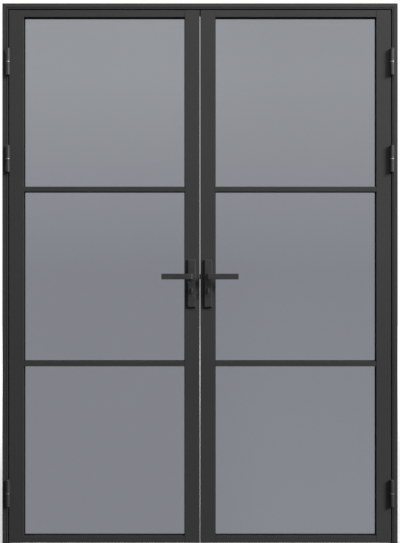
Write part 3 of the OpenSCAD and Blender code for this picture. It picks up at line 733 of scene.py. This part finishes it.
def room_light(stage):
    """Room light: dim in front of the doors, bright behind them, brighter still towards the top.

    Through glass it is the same from every side, in reflections it grows paler overhead, and straight on it
    is white."""
    front_to_back, lower_room, upper_room = (-0.3, 0.7), (0.0, 0.21), (0.0, 0.7)
    most_above = 1.38
    world = bpy.data.worlds.new("room")
    world.use_nodes = True
    tree = world.node_tree
    way = node(tree, "ShaderNodeSeparateXYZ", (-700, 0))
    link(tree, node(tree, "ShaderNodeTexCoord", (-900, 0)).outputs["Generated"], way.inputs[0])
    behind = ranged(
        tree, way.outputs["Y"], front_to_back, (stage.room_front, stage.room_back), (-500, 150), "SMOOTHSTEP"
    )
    above = ranged(tree, way.outputs["Z"], lower_room, (1.0, most_above), (-500, -150))
    ceiling = (stage.mirrored, stage.mirrored_above)
    overhead = ranged(tree, way.outputs["Z"], upper_room, ceiling, (-500, -350))
    strength = calc(tree, "MULTIPLY", (behind.outputs[0], above.outputs[0]), (-250, 0))
    pale = calc(tree, "MULTIPLY", (above.outputs[0], stage.room_back), (-250, 250))
    ray = node(tree, "ShaderNodeLightPath", (-500, 400))
    # Rays through glass count as mirrored ones too, so they are told apart after them
    for kind, source, at in (
        ("Is Glossy Ray", overhead.outputs[0], (-150, 100)),
        ("Is Transmission Ray", pale, (-100, 50)),
        ("Is Camera Ray", 1.0, (-50, 0)),
    ):
        m = node(tree, "ShaderNodeMix", at)
        link(tree, ray.outputs[kind], m.inputs["Factor"])
        link(tree, strength, m.inputs["A"])
        feed(tree, source, m.inputs["B"])
        strength = m.outputs["Result"]
    tree.nodes["Background"].inputs["Color"].default_value = (1.0, 1.0, 1.0, 1.0)
    link(tree, strength, tree.nodes["Background"].inputs["Strength"])
    return world


def add_camera(scene, stage):
    """A level camera in front of the doors; its lens follows from its distance and the height it covers."""
    data = bpy.data.cameras.new("camera")
    data.sensor_width, data.sensor_fit = SENSOR_WIDTH, "AUTO"
    data.lens = data.sensor_width * stage.distance / stage.picture_height
    camera = bpy.data.objects.new("camera", data)
    camera.location = (0.0, float(HINGE_STILE_LO[1]) - stage.distance, stage.centre_height)
    camera.rotation_euler = (math.pi / 2, 0.0, 0.0)
    scene.collection.objects.link(camera)
    scene.camera = camera


class DOORS_OT_stage(bpy.types.Operator):
    """Plain pale floor, white backdrop, soft lights and the camera"""

    bl_idname = "doors.stage"
    bl_label = "Stage"

    def execute(self, context):
        scene, stage = context.scene, context.scene.door_stage
        # Level floor: x and y on a plain grid, height nought
        side = np.linspace(-FLOOR_HALF, FLOOR_HALF, FLOOR_POINTS)
        x, y = np.meshgrid(side, side)
        points = np.stack([x, y, 0.0 * x], axis=-1).reshape(-1, 3)
        faces = grid_faces(FLOOR_POINTS, FLOOR_POINTS, False)
        make_piece("floor", [(points, faces)], None, pale_floor(stage))
        middle = (0.0, 0.0, stage.centre_height)
        add_lamp(scene, "key", KEY_PLACE, middle, KEY_WIDTH, stage.key)
        add_lamp(scene, "fill", FILL_PLACE, middle, FILL_WIDTH, stage.fill)
        add_lamp(scene, "back_light", BACK_PLACE, middle, BACK_WIDTH, stage.back)
        scene.world = room_light(stage)
        scene.view_settings.view_transform = "Standard"
        scene.view_settings.look = "None"
        add_camera(scene, stage)
        return {"FINISHED"}


OPERATORS = (
    DOORS_OT_coat, DOORS_OT_hardware, DOORS_OT_steel, DOORS_OT_glass, DOORS_OT_rubber, DOORS_OT_caps,
    DOORS_OT_faceplate_screws, DOORS_OT_plate_screw_sockets, DOORS_OT_stage,
)


class DOORS_PT_looks(bpy.types.Panel):
    """French doors: finishes, fixings and stage"""

    bl_idname = "DOORS_PT_looks"
    bl_label = "French doors"
    bl_space_type = "VIEW_3D"
    bl_region_type = "UI"
    bl_category = "French doors"

    def draw(self, context):
        column = self.layout.column()
        for group in (context.scene.door_finishes, context.scene.door_fixings, context.scene.door_stage):
            for key in group.__annotations__:
                column.prop(group, key)
        for operator in OPERATORS:
            column.operator(operator.bl_idname)


CLASSES = (DoorFinishes, DoorFixings, DoorStage, *OPERATORS, DOORS_PT_looks)


def register():
    """Registers the classes and the scene's settings."""
    for c in CLASSES:
        bpy.utils.register_class(c)
    bpy.types.Scene.door_finishes = bpy.props.PointerProperty(type=DoorFinishes)
    bpy.types.Scene.door_fixings = bpy.props.PointerProperty(type=DoorFixings)
    bpy.types.Scene.door_stage = bpy.props.PointerProperty(type=DoorStage)


def unregister():
    """Takes the settings and classes away again."""
    del bpy.types.Scene.door_stage
    del bpy.types.Scene.door_fixings
    del bpy.types.Scene.door_finishes
    for c in reversed(CLASSES):
        bpy.utils.unregister_class(c)


def main():
    """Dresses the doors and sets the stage."""
    register()
    for operator in OPERATORS:
        getattr(bpy.ops.doors, operator.bl_idname.split(".")[1])()


if __name__ == "__main__":
    main()
